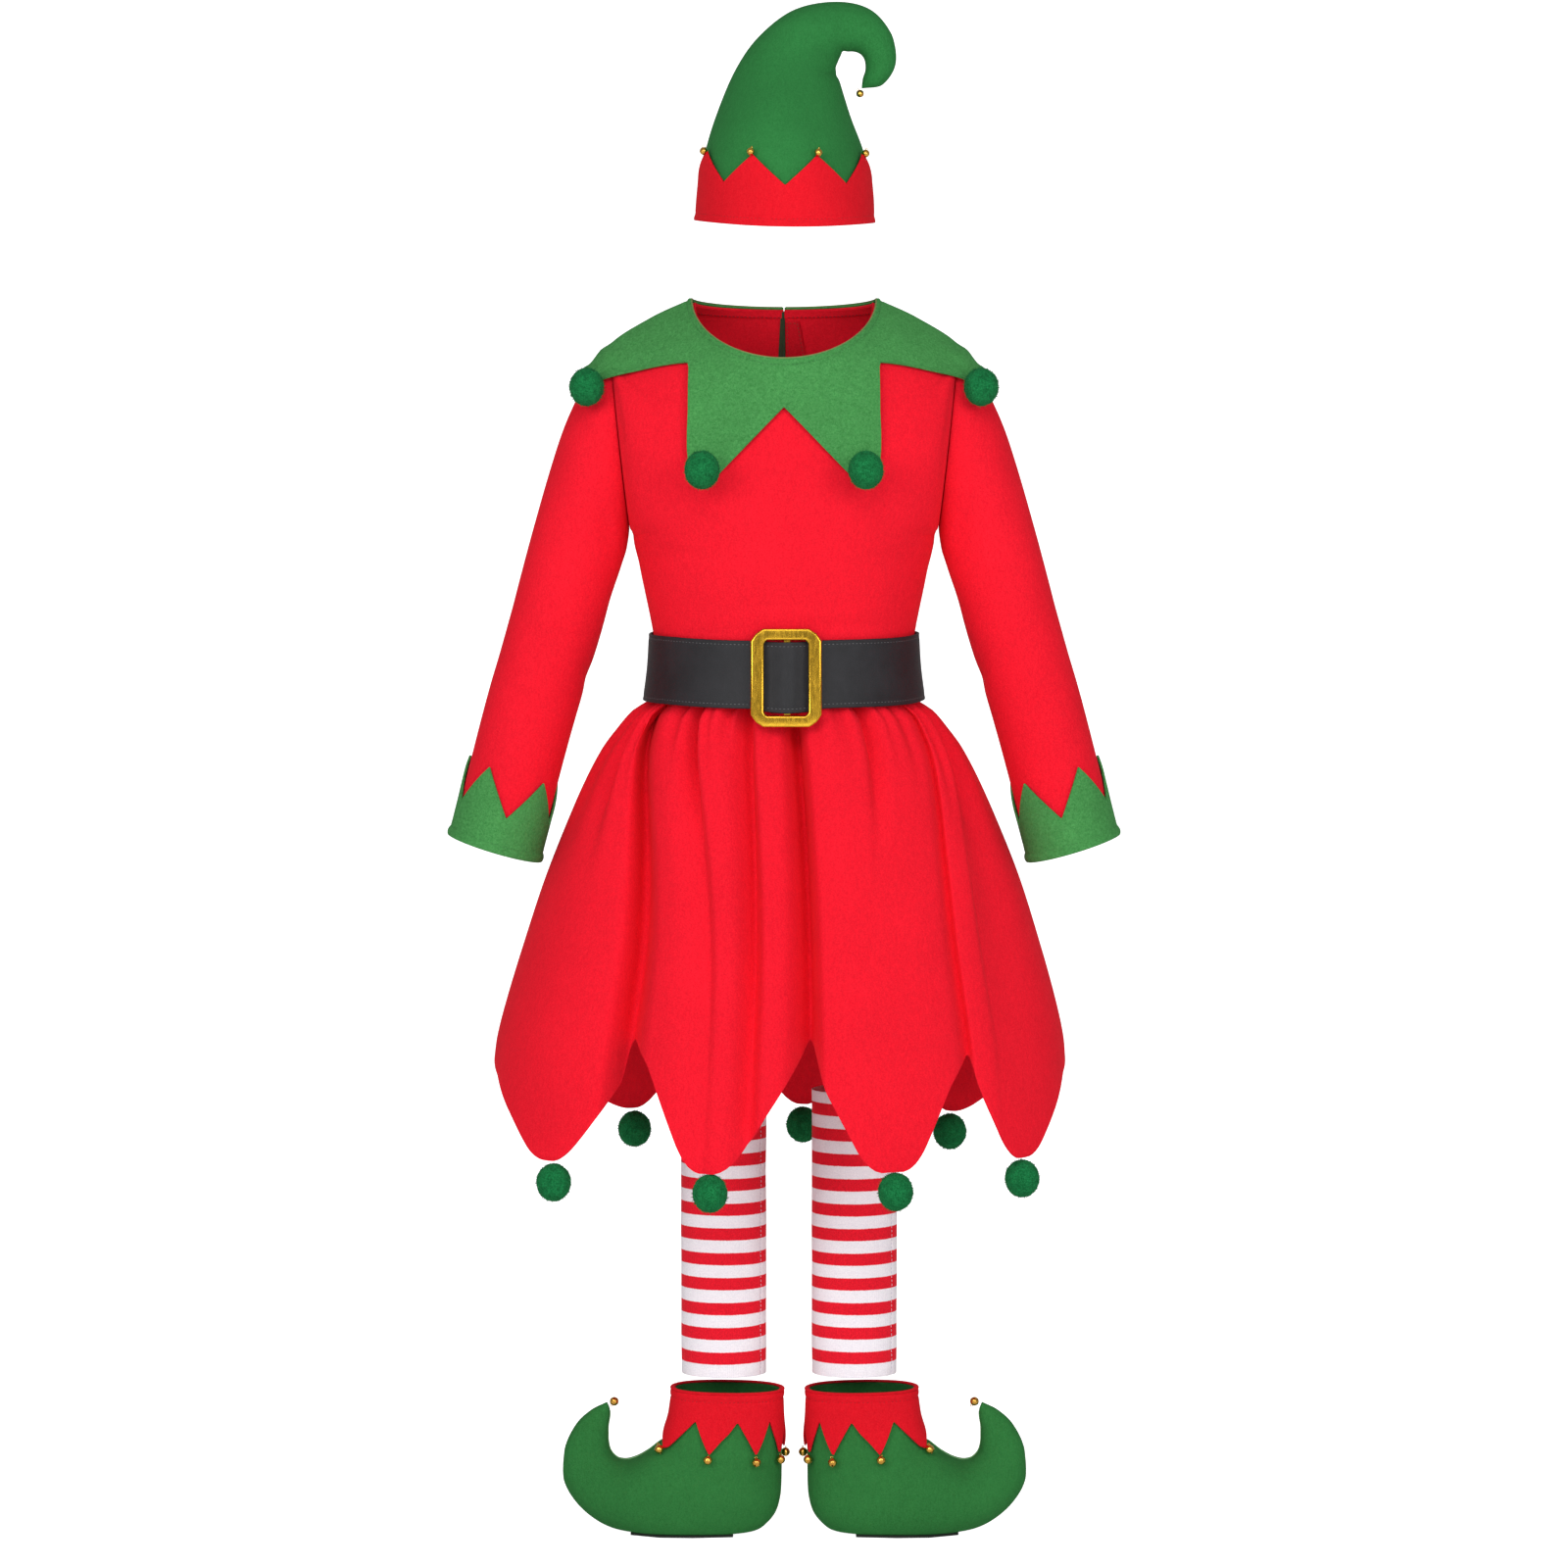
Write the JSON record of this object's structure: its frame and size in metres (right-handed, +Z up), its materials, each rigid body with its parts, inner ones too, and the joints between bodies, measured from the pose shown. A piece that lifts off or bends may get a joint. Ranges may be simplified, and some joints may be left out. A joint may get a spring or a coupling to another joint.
{
  "type": "elf costume",
  "caption": "Child's elf costume in worn form: belted tunic dress with pointed collar and skirt, curled hat, striped stockings and curled-toe shoe covers.",
  "frame": {"origin": "middle of the neck opening of the dress, at the height of its neck points, where the wearer's shoulders hold it up", "axes": "+Z up along the standing wearer, -Y the front of the costume, +X to the right of the picture (the wearer's left)"},
  "size_m": [0.5478, 0.3803, 1.2545],
  "materials": {
    "red_cloth": "brushed knit, matt with a soft nap",
    "closure_tape": "woven tape, matt",
    "green_felt": "mottled felt, matt",
    "leatherette": "fine grained leatherette, satin",
    "gold_metal": "gold coloured, polished",
    "pompom_yarn": "fluffy yarn",
    "hat_felt": "felt, matt",
    "red_felt": "felt, matt",
    "bell_metal": "gold coloured, small jingle bells",
    "striped_knit": "fine knit, white with red stripes",
    "shoe_felt": "brushed felt, matt",
    "sole_sheet": "thin matt sheet"
  },
  "bodies": {
    "root": {"bodice_front": "red_cloth", "bodice_back_left": "red_cloth", "bodice_back_right": "red_cloth", "sleeve_left": "red_cloth", "sleeve_right": "red_cloth", "skirt_front": "red_cloth", "skirt_back": "red_cloth", "back_closure_tape": "closure_tape", "collar": "green_felt", "cuff_left": "green_felt", "cuff_right": "green_felt", "belt_strap": "leatherette", "buckle_frame": "gold_metal", "buckle_bar": "gold_metal", "pompom_skirt_1": "pompom_yarn", "pompom_skirt_2": "pompom_yarn", "pompom_skirt_3": "pompom_yarn", "pompom_skirt_4": "pompom_yarn", "pompom_skirt_5": "pompom_yarn", "pompom_skirt_6": "pompom_yarn", "pompom_skirt_7": "pompom_yarn", "pompom_collar_left_1": "pompom_yarn", "pompom_collar_right_1": "pompom_yarn", "pompom_collar_left_2": "pompom_yarn", "pompom_collar_right_2": "pompom_yarn", "pompom_collar_left_3": "pompom_yarn", "pompom_collar_right_3": "pompom_yarn", "hat_crown": "hat_felt", "hat_band": "red_felt", "bell_hat_1": "bell_metal", "bell_hat_2": "bell_metal", "bell_hat_3": "bell_metal", "bell_hat_4": "bell_metal", "bell_hat_5": "bell_metal", "bell_hat_6": "bell_metal", "bell_hat_7": "bell_metal", "bell_hat_8": "bell_metal", "bell_hat_tip": "bell_metal", "stocking_left": "striped_knit", "shoe_left_side_front": "shoe_felt", "shoe_left_side_back": "shoe_felt", "shoe_left_sole": "sole_sheet", "shoe_left_cuff": "red_felt", "bell_shoe_left_1": "bell_metal", "bell_shoe_left_2": "bell_metal", "bell_shoe_left_3": "bell_metal", "bell_shoe_left_4": "bell_metal", "bell_shoe_left_5": "bell_metal", "bell_shoe_left_toe": "bell_metal", "stocking_right": "striped_knit", "shoe_right_side_front": "shoe_felt", "shoe_right_side_back": "shoe_felt", "shoe_right_sole": "sole_sheet", "shoe_right_cuff": "red_felt", "bell_shoe_right_1": "bell_metal", "bell_shoe_right_2": "bell_metal", "bell_shoe_right_3": "bell_metal", "bell_shoe_right_4": "bell_metal", "bell_shoe_right_5": "bell_metal", "bell_shoe_right_toe": "bell_metal"}
  },
  "joints": []
}
